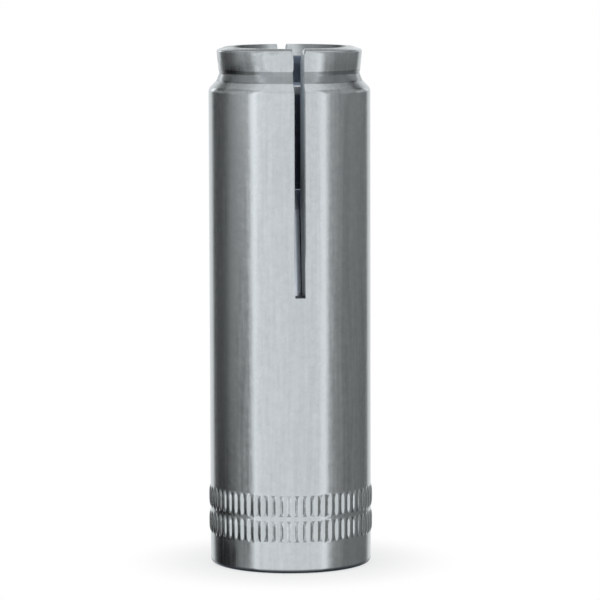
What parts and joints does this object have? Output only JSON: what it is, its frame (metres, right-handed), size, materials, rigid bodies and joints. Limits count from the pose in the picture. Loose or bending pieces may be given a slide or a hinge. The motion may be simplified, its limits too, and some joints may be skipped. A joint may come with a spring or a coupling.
{
  "type": "drop-in anchor",
  "caption": "Drop-in expansion anchor: slotted zinc-plated steel sleeve with threaded mouth, knurled bands and an expansion plug in its tapered bore.",
  "frame": {"origin": "centre of the threaded mouth's end face, at the bottom", "axes": "+Z along the anchor's axis from the threaded mouth to the slotted end; the two slots lie on +Y and -Y"},
  "size_m": [0.0204, 0.0204, 0.0643],
  "materials": {
    "zinc_plated_steel": "bright zinc plating with a fine satin grain",
    "plug_steel": "smooth turned steel, slightly darker than the sleeve"
  },
  "bodies": {
    "sleeve": {"sleeve": "zinc_plated_steel"},
    "plug": {"expansion_plug": "plug_steel"}
  },
  "joints": [
    {"name": "plug_drive", "type": "slide", "parent": "sleeve", "child": "plug", "axis": [0, 0, 1], "range_m": [0, 0.012], "deforming": ["sleeve"]}
  ]
}
